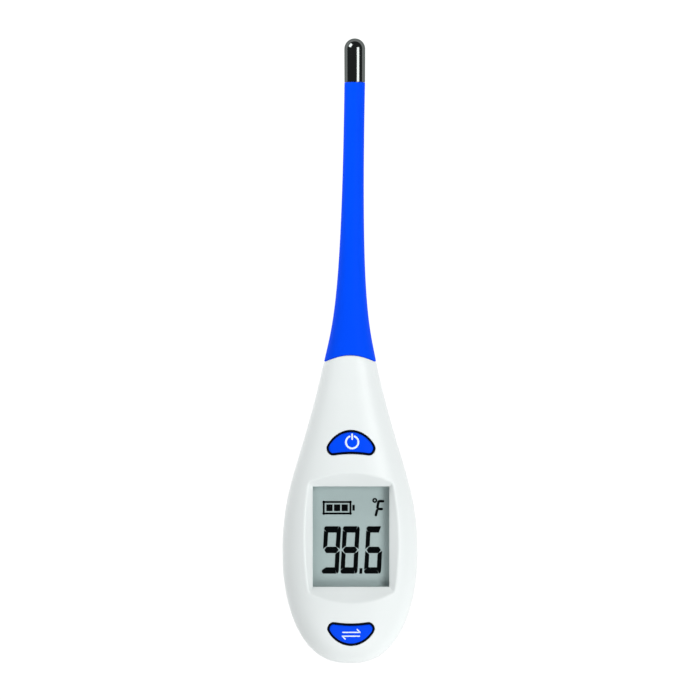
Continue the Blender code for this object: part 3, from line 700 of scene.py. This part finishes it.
def front_housing():
    mesh = bmesh.new()
    side_columns = [side * share for side in (-1, 1) for share in (0.9925, 0.9965, 0.999)]
    columns = sorted([i / 28 - 1 for i in range(57)] + side_columns)
    seam_rows = [ROWS_END - EDGE / ROW_RATE * share for share in (1.0, 0.55, 0.2)]
    rows = sorted([ROWS_END * i / 86 for i in range(87)] + seam_rows)
    bezel = relaxed(bowed(BEZEL_CORNERS, BEZEL_BOWS, 56), 2)
    window = straight(rectangle(WINDOW_X, WINDOW_REACH, *WINDOW_HALF), 56)
    holes = [
        button_outline(POWER_REACH, POWER_SIZE, 0.0, True),
        button_outline(MODE_REACH, MODE_SIZE, 0.0, False),
    ]
    bezel_outer = grown(bezel, BEZEL_FILLET)
    outer_loops = [bezel_outer] + [grown(hole, HOLE_FILLET) for hole in holes]
    add_sheet(mesh, front_point, front_domain, outer_loops, columns, rows)
    inner_loops = [window] + holes
    add_sheet(mesh, inner_front_point, inner_front_domain, inner_loops, columns, rows)

    edge = on_skin(bezel)
    bottom = [(x, reach, WINDOW_EDGE) for x, reach in window]
    lower = []
    near_bottom = []
    for high, low in zip(edge, bottom):
        long = math.dist(high, low)
        lower.append(tuple(h + (c - h) * BEZEL_FILLET / long for h, c in zip(high, low)))
        near_bottom.append(tuple(c + (h - c) * WINDOW_FILLET / long for h, c in zip(high, low)))
    slope = fillet_rows(on_skin(bezel_outer), edge, lower, 8)
    slope += [between(lower, near_bottom, share) for share in (0.25, 0.5, 0.75)]
    wall_top = [(x, reach, WINDOW_EDGE - WINDOW_FILLET) for x, reach in window]
    slope += fillet_rows(near_bottom, bottom, wall_top, 4)
    slope.append([(x, reach, CEILING) for x, reach in window])
    add_rows(mesh, slope)

    for hole in holes:
        top = on_skin(hole)
        wall = [(x, reach, z - HOLE_FILLET) for x, reach, z in top]
        hole_rows = fillet_rows(on_skin(grown(hole, HOLE_FILLET)), top, wall, 4)
        hole_rows.append([inner_front_point(*inner_front_domain(x, reach)) for x, reach in hole])
        add_rows(mesh, hole_rows)

    for q in (-1.0, 1.0):
        add_strip(mesh, [front_point(q, r) for r in rows], [inner_front_point(q, r) for r in rows], False)
    ends = [front_point(q, ROWS_END) for q in columns], [inner_front_point(q, ROWS_END) for q in columns]
    add_strip(mesh, *ends, False)
    return piece("front_housing", mesh, "white_shell", "handle", ("front_shell",))


# Rear housing and battery cover ---------------------------------------------------------------------


def half_ring(reach, width, height, power, limit, steps, extend=0.0):
    """Half a superellipse below the parting plane, closed straight across, or higher by extend."""
    points = []
    for i in range(steps + 1):
        angle = math.pi * i / steps
        x = width * math.copysign(abs(math.cos(angle)) ** (2 / power), math.cos(angle))
        drop = min(limit, height * math.sin(angle) ** (2 / power)) if 0 < i < steps else 0.0
        points.append((centre_x(reach) + x, reach, PARTING - (drop + HALF_GAP)))
    if extend:
        points.append((centre_x(reach) - width, reach, PARTING + extend))
        points.append((centre_x(reach) + width, reach, PARTING + extend))
    return points


def full_ring(reach, across, up):
    angles = [2 * math.pi * i / PROBE_STEPS for i in range(PROBE_STEPS)]
    return [(centre_x(reach) + across * math.cos(a), reach, PARTING + up * math.sin(a)) for a in angles]


def stations(start, rounded, end, steps_rounded, steps_straight):
    """Reaches for rings, close together where the heel is rounded."""
    first = [
        start + (rounded - start) * (1 - math.cos(math.pi / 2 * i / steps_rounded)) ** 1.3
        for i in range(steps_rounded + 1)
    ]
    return first + [rounded + (end - rounded) * i / steps_straight for i in range(1, steps_straight + 1)]


def outer_rear():
    rings = [[(0.0, 0.15, PARTING - HALF_GAP)]]
    for reach in stations(0.0, ROUND_END, 66.0, 22, 40)[2:]:
        power = section_power(reach, REAR_POWER)
        rings.append(half_ring(reach, half_width(reach), belly(reach), power, PARTING - HALF_GAP, 40))
    return skinned(rings)


def inner_rear():
    rings = []
    reaches = stations(INNER_START, ROUND_END, 68.0, 12, 26)
    for reach in sorted(reaches + [FLOOR_STEP, FLOOR_STEP + 0.6]):
        width, height = inner_size(reach, False)
        floor = REAR_FLOOR if reach <= FLOOR_STEP else WALL
        power = section_power(reach, REAR_POWER)
        rings.append(half_ring(reach, width, height, power, PARTING - floor, 24, 1.0))
    return skinned(rings)


def seam_block():
    """A cutter for everything past the curved seam."""
    half, end = 8.0, 70.0
    curve = []
    for i in range(25):
        x = half * (i / 12 - 1)
        curve.append((x, SEAM_PEAK - SEAM_DROP * (x / NECK_HALF_WIDTH) ** 2))
    return prism(curve + [(half, end), (-half, end)], -1.0, 16.0)


def dovetail(grow, top, end):
    """The door's way, wider at its top, so that the door can only slide."""
    low, high = (half + grow for half in DOOR_HALF_WIDTHS)
    ring = [(-low, -1.0), (low, -1.0), (low, 0.0), (high, top), (-high, top), (-low, 0.0)]
    return skinned([[(x, reach, z) for x, z in ring] for reach in (-2.0, end)])


def rear_housing():
    half, end, low, high = TONGUE
    slot_low = (-half - 0.2, DOOR_END - 1.0, low - DOOR_GAP)
    slot_high = (half + 0.2, end + 0.2, high + DOOR_GAP)
    mesh = carved(
        outer_rear(),
        [
            ("DIFFERENCE", inner_rear()),
            ("DIFFERENCE", seam_block()),
            ("UNION", prism(circle(0.0, CELL_REACH, BAY_RADIUS + BAY_WALL, 72), REAR_FLOOR - 0.2, BAY_TOP)),
            ("DIFFERENCE", prism(circle(0.0, CELL_REACH, BAY_RADIUS, 72), DOOR_TOP - 0.5, BAY_TOP + 0.5)),
            ("DIFFERENCE", dovetail(DOOR_GAP, DOOR_TOP + DOOR_GAP, DOOR_END + DOOR_GAP)),
            ("DIFFERENCE", block(slot_low, slot_high)),
            ("UNION", prism(circle(0.0, PIEZO_REACH, PIEZO_RADIUS - 0.2), 1.0, 2.95)),
            ("DIFFERENCE", prism(circle(0.0, PIEZO_REACH, PIEZO_RADIUS - 1.0), 1.6, 4.0)),
            ("DIFFERENCE", prism(circle(0.0, PIEZO_REACH, SOUND_PORT_RADIUS, 32), -1.0, 3.0)),
        ],
    )
    return piece("rear_housing", mesh, "white_shell", "handle", ("rear_shell",))


def battery_cover():
    half, end, low, high = TONGUE
    first, spacing, wide, deep, half_long = 11.3, 1.5, 0.6, 0.4, 5.0
    starts = [first + spacing * number for number in range(5)]
    grooves = [block((-half_long, reach, -1.0), (half_long, reach + wide, deep)) for reach in starts]
    mesh = carved(
        outer_rear(),
        [
            ("INTERSECT", dovetail(0.0, DOOR_TOP, DOOR_END)),
            ("UNION", block((-half, DOOR_END - 0.8, low), (half, end, high))),
            ("DIFFERENCE", combined(grooves)),
        ],
    )
    return piece("battery_cover", mesh, "white_shell", "battery_door_body", ("battery_door",))


# Probe ----------------------------------------------------------------------------------------------

SLEEVE_BORE = 1.75
FLEX_BORE = 1.0
FLEX_END = 118.3


def sleeve_point(start, angle, scale, bulge):
    """A point of the sleeve's skin; bulge is the share of the curved seam that this ring follows."""
    cos, sin = math.cos(angle), math.sin(angle)
    share = abs(cos) ** (2 / section_power(start, FRONT_POWER))
    drop = SEAM_DROP * (half_width(start) * share / NECK_HALF_WIDTH) ** 2
    reach = start - drop * bulge
    front = sin >= 0
    power = section_power(reach, FRONT_POWER if front else REAR_POWER)
    across = half_width(reach) * scale * math.copysign(abs(cos) ** (2 / power), cos)
    height = (crown(reach) if front else belly(reach)) * scale * abs(sin) ** (2 / power)
    return (centre_x(reach) + across, reach, PARTING + math.copysign(height, sin))


def probe_sleeve():
    angles = [2 * math.pi * i / PROBE_STEPS for i in range(PROBE_STEPS)]
    first = SEAM_PEAK + 0.1
    starts = [(first, 0.72), (first + 0.01, 0.968), (first + 0.05, 0.985)]
    starts += [(first + 0.12, 0.996), (first + 0.22, 1.0)]
    starts += [(first + 0.22 + (SLEEVE_END - 0.3 - first) * i / 62, 1.0) for i in range(1, 63)]
    starts += [(SLEEVE_END - 0.02, 0.99), (SLEEVE_END, 0.97)]
    rings = []
    for start, scale in starts:
        bulge = 1 - smooth((start - first) / 7.0)
        rings.append([sleeve_point(start, a, scale, bulge) for a in angles])
    rings += [full_ring(reach, SLEEVE_BORE, SLEEVE_BORE) for reach in (SLEEVE_END, FLEX_END)]
    rings += [full_ring(FLEX_END - 2.0 * i, FLEX_BORE, FLEX_BORE) for i in range(27)]
    spigot = ((64.0, FLEX_BORE, FLEX_BORE), (56.5, FLEX_BORE, FLEX_BORE), (56.5, 3.2, 2.7))
    spigot += ((57.0, 3.3, 2.75), (57.0, 4.3, 3.4), (58.2, 4.3, 3.4), (58.2, 3.3, 2.75), (62.5, 3.3, 2.75))
    rings += [full_ring(*size) for size in spigot]
    nodes = ("probe_sleeve_base", "probe_sleeve_tip")
    sleeve = piece("probe_sleeve", skinned(rings, cyclic=True), "blue_sleeve", None, nodes)
    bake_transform(sleeve)
    return sleeve


def steel_tip():
    tip = DOME_CENTRE + DOME_RADIUS
    outside = []
    for degrees in range(84, -1, -6):
        angle = math.radians(degrees)
        outside.append((DOME_CENTRE + DOME_RADIUS * math.sin(angle), DOME_RADIUS * math.cos(angle)))
    outside += [(126.5, 2.195), (124.0, 2.18), (CAP_START + 0.06, PROBE_RADIUS)]
    outside += [(CAP_START, PROBE_RADIUS - 0.06)]
    inside_sleeve = [(CAP_START, 1.6), (118.6, 1.6), (118.6, 1.3), (122.6, 1.3)]
    hollow = [(122.6, 1.8), (DOME_CENTRE + 0.6, 1.8), (tip - 0.75, 1.0)]
    rings = [full_ring(reach, size, size) for reach, size in outside + inside_sleeve + hollow]
    rings.insert(0, [(centre_x(tip), tip, PARTING)])
    rings.append([(centre_x(tip), tip - 0.4, PARTING)])
    return piece("steel_tip", skinned(rings), "steel", "probe_tip_body", ("probe_tip_cap",), sharp=40.0)


def tube(path, radius, steps=10):
    """A round wire along a path of points."""
    rings = []
    for i, (x, reach, z) in enumerate(path):
        before, after = Vector(path[max(0, i - 1)]), Vector(path[min(len(path) - 1, i + 1)])
        along = (after - before).normalized()
        side = along.cross(Vector((0.0, 0.0, 1.0))).normalized()
        up = side.cross(along)
        ring = []
        for k in range(steps):
            angle = 2 * math.pi * k / steps
            across = side * radius * math.cos(angle)
            ring.append(tuple(Vector((x, reach, z)) + across + up * radius * math.sin(angle)))
        rings.append(ring)
    return skinned(rings)


def sensor_wires():
    start, end = 127.3, 58.0
    for side, label, slot in ((-1, "left", "wire_red"), (1, "right", "wire_black")):
        reaches = [start - (start - end) * i / 70 for i in range(71)]
        path = [(centre_x(reach) + side * 0.35, reach, PARTING) for reach in reaches]
        path += [(side * 0.42, 57.0, 7.03), (side * 0.5, 56.0, 7.1), (side * 0.7, 55.2, 7.4)]
        path += [(side * 0.9, 54.6, 7.65), (side * 1.05, 53.6, 7.72), (side * 1.2, 52.6, 7.72)]
        made = piece(f"sensor_wire_{label}", tube(path, 0.15), slot, None, (f"sensor_lead_{label}",))
        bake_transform(made)


# Buttons --------------------------------------------------------------------------------------------

# Foot of the stem, foot of the flange and top of the flange
POWER_HEIGHTS = (9.7, 10.3, 10.9)
MODE_HEIGHTS = (8.8, 9.0, 9.4)
STEM_RADIUS = 1.1
RIM_SINK = 0.06
PRINT_LIFT = 0.025
PRINT_THICK = 0.08


def cap_height(x, reach):
    return skin(x, reach) + PROUD


def key(name, reach, size, towards_tip, heights, body, node):
    """A soft cap with a rounded edge, its flange behind the shell and its stem."""
    stem_bottom, flange_bottom, flange_top = heights
    outline = button_outline(reach, size, RIM + 0.1, towards_tip)
    wide = button_outline(reach, size, 0.0, towards_tip)
    middle = (BUTTON_X, reach)

    def shrunk(distance):
        return grown(outline, -distance)

    def level(rows, z):
        return [(x, y, z) for x, y in rows]

    stem = []
    for x, y in outline:
        angle = math.atan2(y - reach, x - BUTTON_X)
        stem.append((BUTTON_X + STEM_RADIUS * math.cos(angle), reach + STEM_RADIUS * math.sin(angle)))
    rings = [
        level(stem, stem_bottom),
        level(stem, flange_bottom),
        level(wide, flange_bottom),
        level(wide, flange_top),
        level(outline, flange_top),
    ]
    rings.append([(x, y, cap_height(x, y) - KEY_EDGE) for x, y in outline])
    for i in range(1, 7):
        angle = math.pi / 2 * i / 6
        inward, drop = KEY_EDGE * (1 - math.cos(angle)), KEY_EDGE * (1 - math.sin(angle))
        rings.append([(x, y, cap_height(x, y) - drop) for x, y in shrunk(inward)])
    last = shrunk(KEY_EDGE)
    for i in range(1, 12):
        share = 1 - i / 12
        row = between([middle] * len(last), last, share)
        rings.append([(x, y, cap_height(x, y)) for x, y in row])
    rings.append([(*middle, cap_height(*middle))])
    return piece(name, skinned(rings), "blue_button", body, (node,), sharp=50.0)


def rim(name, reach, size, towards_tip, bottom, node):
    """The dark ring round a button, rounded on top."""
    outer = button_outline(reach, size, 0.05, towards_tip)
    inner = button_outline(reach, size, RIM, towards_tip)
    rings = [[(x, y, bottom) for x, y in outer], [(x, y, skin(x, y) - RIM_SINK) for x, y in outer]]
    for share, lift in ((0.1, 0.0), (0.3, 0.035), (0.5, 0.05), (0.7, 0.035), (0.9, 0.0)):
        rings.append([(x, y, skin(x, y) + lift) for x, y in between(outer, inner, share)])
    rings += [[(x, y, skin(x, y) - RIM_SINK) for x, y in inner], [(x, y, bottom) for x, y in inner]]
    return piece(name, skinned(rings, cyclic=True), "black_rubber", "handle", (node,), sharp=60.0)


def stroke(points, width, height_at, thick, closed_ends=True):
    """A flat printed line along points of the plan, with rounded ends, that follows a surface."""
    left, right = [], []
    count = len(points)
    for i in range(count):
        a, b = points[max(0, i - 1)], points[min(count - 1, i + 1)]
        long = math.dist(a, b)
        out = ((b[1] - a[1]) / long, (a[0] - b[0]) / long)
        left.append((points[i][0] + out[0] * width / 2, points[i][1] + out[1] * width / 2))
        right.append((points[i][0] - out[0] * width / 2, points[i][1] - out[1] * width / 2))
    mesh = bmesh.new()
    if closed_ends:
        for where, before in ((0, 1), (-1, -2)):
            centre = points[where]
            away = math.atan2(centre[1] - points[before][1], centre[0] - points[before][0])
            turns = [away + math.pi * (k / 8 - 0.5) for k in range(9)]
            fan = [
                (centre[0] + width / 2 * math.cos(turn), centre[1] + width / 2 * math.sin(turn))
                for turn in turns
            ]
            add_slab(mesh, [fan], height_at, thick)
    strip = [[left[i], left[i + 1], right[i + 1], right[i]] for i in range(count - 1)]
    add_slab(mesh, strip, height_at, thick)
    return mesh


def add_slab(mesh, faces, height_at, thick):
    """Flat faces of the plan given a thickness, as one closed body."""
    flat = bmesh.new()
    for face in faces:
        flat.faces.new([flat.verts.new((*point, 0.0)) for point in face])
    bmesh.ops.remove_doubles(flat, verts=flat.verts, dist=1e-5)
    flat.verts.ensure_lookup_table()
    top = [mesh.verts.new(placed((v.co.x, v.co.y, height_at(v.co.x, v.co.y)))) for v in flat.verts]
    low = []
    for v in flat.verts:
        foot = height_at(v.co.x, v.co.y) - thick
        low.append(mesh.verts.new(placed((v.co.x, v.co.y, foot))))
    for face in flat.faces:
        order = [v.index for v in face.verts]
        mesh.faces.new([top[i] for i in order])
        mesh.faces.new([low[i] for i in reversed(order)])
    for edge in flat.edges:
        if edge.is_boundary:
            a, b = (v.index for v in edge.verts)
            mesh.faces.new((top[a], top[b], low[b], low[a]))
    flat.free()


def arc(x, reach, radius, start, end, steps):
    angles = [math.radians(start + (end - start) * i / steps) for i in range(steps + 1)]
    return [(x + radius * math.cos(a), reach + radius * math.sin(a)) for a in angles]


def line(a, b, steps):
    return [tuple(a[n] + (b[n] - a[n]) * i / steps for n in range(2)) for i in range(steps + 1)]


def printed(x, reach):
    return cap_height(x, reach) + PRINT_LIFT


def button_symbols():
    ring = stroke(arc(0.45, 46.5, 1.3, 114, 426, 60), 0.38, printed, PRINT_THICK)
    bar = stroke(line((0.45, 47.15), (0.45, 48.15), 8), 0.34, printed, PRINT_THICK)
    piece("power_symbol", combined([ring, bar]), "blue_button", "power_button_body", material=PRINT_WHITE)
    marks = []
    x, half, width = 0.25, 1.75, 0.26
    for reach, way in ((6.72, 1), (5.92, -1)):
        marks.append(stroke(line((x - half, reach), (x + half, reach), 14), width, printed, PRINT_THICK))
        barb = line((x + way * 1.85, reach), (x + way * 1.25, reach + way * 0.62), 5)
        marks.append(stroke(barb, width, printed, PRINT_THICK + 0.001))
    piece("mode_symbol", combined(marks), "blue_button", "mode_button_body", material=PRINT_WHITE)


def buttons():
    key("power_key", POWER_REACH, POWER_SIZE, True, POWER_HEIGHTS, "power_button_body", "power_button")
    key("mode_key", MODE_REACH, MODE_SIZE, False, MODE_HEIGHTS, "mode_button_body", "mode_button")
    rim("power_rim", POWER_REACH, POWER_SIZE, True, 11.3, "power_button_collar")
    rim("mode_rim", MODE_REACH, MODE_SIZE, False, 9.8, "mode_button_collar")
    button_symbols()


# Display --------------------------------------------------------------------------------------------

DIGIT_SIZE = (3.55, 9.92)
BAR = 1.32
POST = 0.91
SLANT = 0.055
DIGIT_FOOT = 18.9
INK_LIFT = 0.045
INK_THICK = 0.04
CROSSING_INK_THICK = 0.041


def segment_shapes():
    """Outlines of the seven segments, from the digit's lower left corner."""
    wide, tall = DIGIT_SIZE
    middle = tall / 2
    top = [(0.0, 0.52), (0.1, 0.2), (0.33, 0.0), (wide - 0.5, 0.0)]
    top += [(wide - 0.88, BAR), (0.86, BAR), (0.1, 0.78)]
    left = [(0.0, 0.88), (POST, 1.26), (POST - 0.02, 4.05), (0.02, middle - 0.2)]
    right = [(wide - 0.4, 0.0), (wide - 0.12, 0.15), (wide + 0.02, 0.55), (wide, middle - 0.2)]
    right += [(wide - POST, 4.15), (wide - POST + 0.02, 1.2)]
    centre = [(0.3, middle), (0.72, middle - BAR / 2), (wide - 0.72, middle - BAR / 2)]
    centre += [(wide - 0.26, middle), (wide - 0.72, middle + BAR / 2), (0.74, middle + BAR / 2)]
    shapes = {"middle": centre}
    for label, outline in (("bar", top), ("left", left), ("right", right)):
        shapes["upper_" + label] = [(x, tall - y) for x, y in outline]
        shapes["lower_" + label] = outline
    return shapes


SEGMENTS_OFF = {"9": ("lower_left",), "8": (), "6": ("upper_right",)}


def lcd_marks():
    shapes = segment_shapes()

    def flat(x, reach):
        return LCD_TOP + INK_LIFT

    digits = bmesh.new()
    for figure, start in (("9", -5.95), ("8", -2.03), ("6", 2.91)):
        for label, outline in shapes.items():
            if label not in SEGMENTS_OFF[figure]:
                placed_outline = [(start + x + SLANT * y, DIGIT_FOOT + y) for x, y in outline]
                add_slab(digits, [placed_outline], flat, INK_THICK)
    point = [(1.95, 0.0), (2.55, 0.0), (2.61, 1.12), (2.01, 1.12)]
    add_slab(digits, [[(x, DIGIT_FOOT + y) for x, y in point]], flat, INK_THICK)
    ink = {"slot": "lcd_glass", "body": "handle", "material": LCD_INK}
    piece("lcd_digits", digits, **ink)

    unit = [
        stroke(arc(5.19, 34.24, 0.35, 0, 360, 40), 0.34, flat, INK_THICK, closed_ends=False),
        stroke(line((6.16, 34.08), (6.92, 34.08), 2), 0.54, flat, INK_THICK),
        stroke([(5.98, 33.98), (5.86, 33.4), (5.76, 32.78)], 0.54, flat, CROSSING_INK_THICK),
        stroke(line((5.96, 32.43), (6.66, 32.43), 2), 0.52, flat, INK_THICK),
        stroke([(5.66, 32.15), (5.56, 31.7), (5.42, 31.15)], 0.52, flat, CROSSING_INK_THICK),
    ]
    piece("lcd_unit_mark", combined(unit), **ink)

    frame_width = 0.4
    battery_sign = [
        stroke(line((-5.6, reach), (0.2, reach), 2), frame_width, flat, INK_THICK) for reach in (31.5, 33.9)
    ]
    battery_sign += [
        stroke(line((x, 31.4), (x, 34.0), 2), frame_width, flat, CROSSING_INK_THICK) for x in (-5.5, 0.1)
    ]
    blocks = [(-4.95 + 1.6 * number, 32.0, 1.3, 1.4) for number in range(3)]
    blocks.append((0.5, 32.1, 0.5, 1.2))
    fill = bmesh.new()
    for x, reach, wide, tall in blocks:
        corners = rectangle(x + wide / 2, reach + tall / 2, wide / 2, tall / 2)
        add_slab(fill, [corners], flat, INK_THICK)
    piece("lcd_battery_mark", combined(battery_sign + [fill]), **ink)


def display_window():
    """The clear window, with eased edges."""
    half_x, half_reach, low, high, ease = 9.2, 11.6, 10.6, 11.4, 0.1
    rings = []
    for z, back in ((low, ease), (low + ease, 0.0), (high - ease, 0.0), (high, ease)):
        outline = straight(rectangle(WINDOW_X, WINDOW_REACH, half_x - back, half_reach - back), 12)
        rings.append([(x, reach, z) for x, reach in relaxed(outline, 1)])
    return piece("display_window", skinned(rings), "lens", "handle", ("display_lens",))


# Camera, light and floor ------------------------------------------------------------------------------

CAMERA_HEIGHT = 1.477
CAMERA_LENS = 360.0
CAMERA_Y = 0.00016
FLOOR_HALF = 3.0
FLOOR_DROP = 0.0001


def camera():
    made = bpy.data.objects.new("camera", bpy.data.cameras.new("camera"))
    made.data.lens = CAMERA_LENS
    made.data.sensor_width = 36.0
    made.data.clip_start = 0.01
    made.location = (0.0, CAMERA_Y, CAMERA_HEIGHT)
    bpy.context.scene.collection.objects.link(made)
    bpy.context.scene.camera = made


def panel(name, place, size, energy, aim=(0.0, 0.0, 0.0)):
    """A soft light turned towards a point on the thermometer."""
    data = bpy.data.lights.new(name, "AREA")
    data.shape = "RECTANGLE"
    data.size, data.size_y = size
    data.energy = energy
    made = bpy.data.objects.new(name, data)
    made.location = place
    made.rotation_euler = (Vector(aim) - Vector(place)).to_track_quat("-Z", "Y").to_euler()
    made.visible_camera = False
    bpy.context.scene.collection.objects.link(made)


def studio():
    world = bpy.data.worlds.new("studio")
    world.use_nodes = True
    background = world.node_tree.nodes["Background"]
    background.inputs["Color"].default_value = (0.9, 0.97, 1.0, 1.0)
    background.inputs["Strength"].default_value = 0.1
    bpy.context.scene.world = world
    bpy.context.scene.view_settings.view_transform = "Standard"
    panel("key", (0.54, 0.05, 0.72), (0.5, 0.4), 4.5)
    panel("heel_panel", (0.0, -0.62, 0.7), (1.1, 0.5), 5.0)
    panel("tip_light", (-0.108, 0.153, 0.081), (0.095, 0.09), 0.2, (0.001, 0.063, 0.007))
    mesh = bmesh.new()
    bmesh.ops.create_grid(mesh, x_segments=1, y_segments=1, size=FLOOR_HALF)
    data = bpy.data.meshes.new("floor")
    mesh.to_mesh(data)
    mesh.free()
    paper = finish("floor_look", (0.06, 0.06, 0.06), 0.9, mottle=0.01, grain=400.0, Emission_Strength=1.0)
    paper.node_tree.nodes["Principled BSDF"].inputs["Emission Color"].default_value = (1.0, 1.0, 1.0, 1.0)
    data.materials.append(paper)
    floor = bpy.data.objects.new("floor", data)
    floor.location = (0.0, 0.0, -FLOOR_DROP)
    bpy.context.scene.collection.objects.link(floor)


camera()
studio()
front_housing()
rear_housing()
battery_cover()
probe_sleeve()
steel_tip()
sensor_wires()
buttons()
display_window()
lcd_marks()

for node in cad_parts.values():
    for number, old in enumerate(node.data.materials):
        node.data.materials[number] = FINISHES[old.name.split(".")[0]]
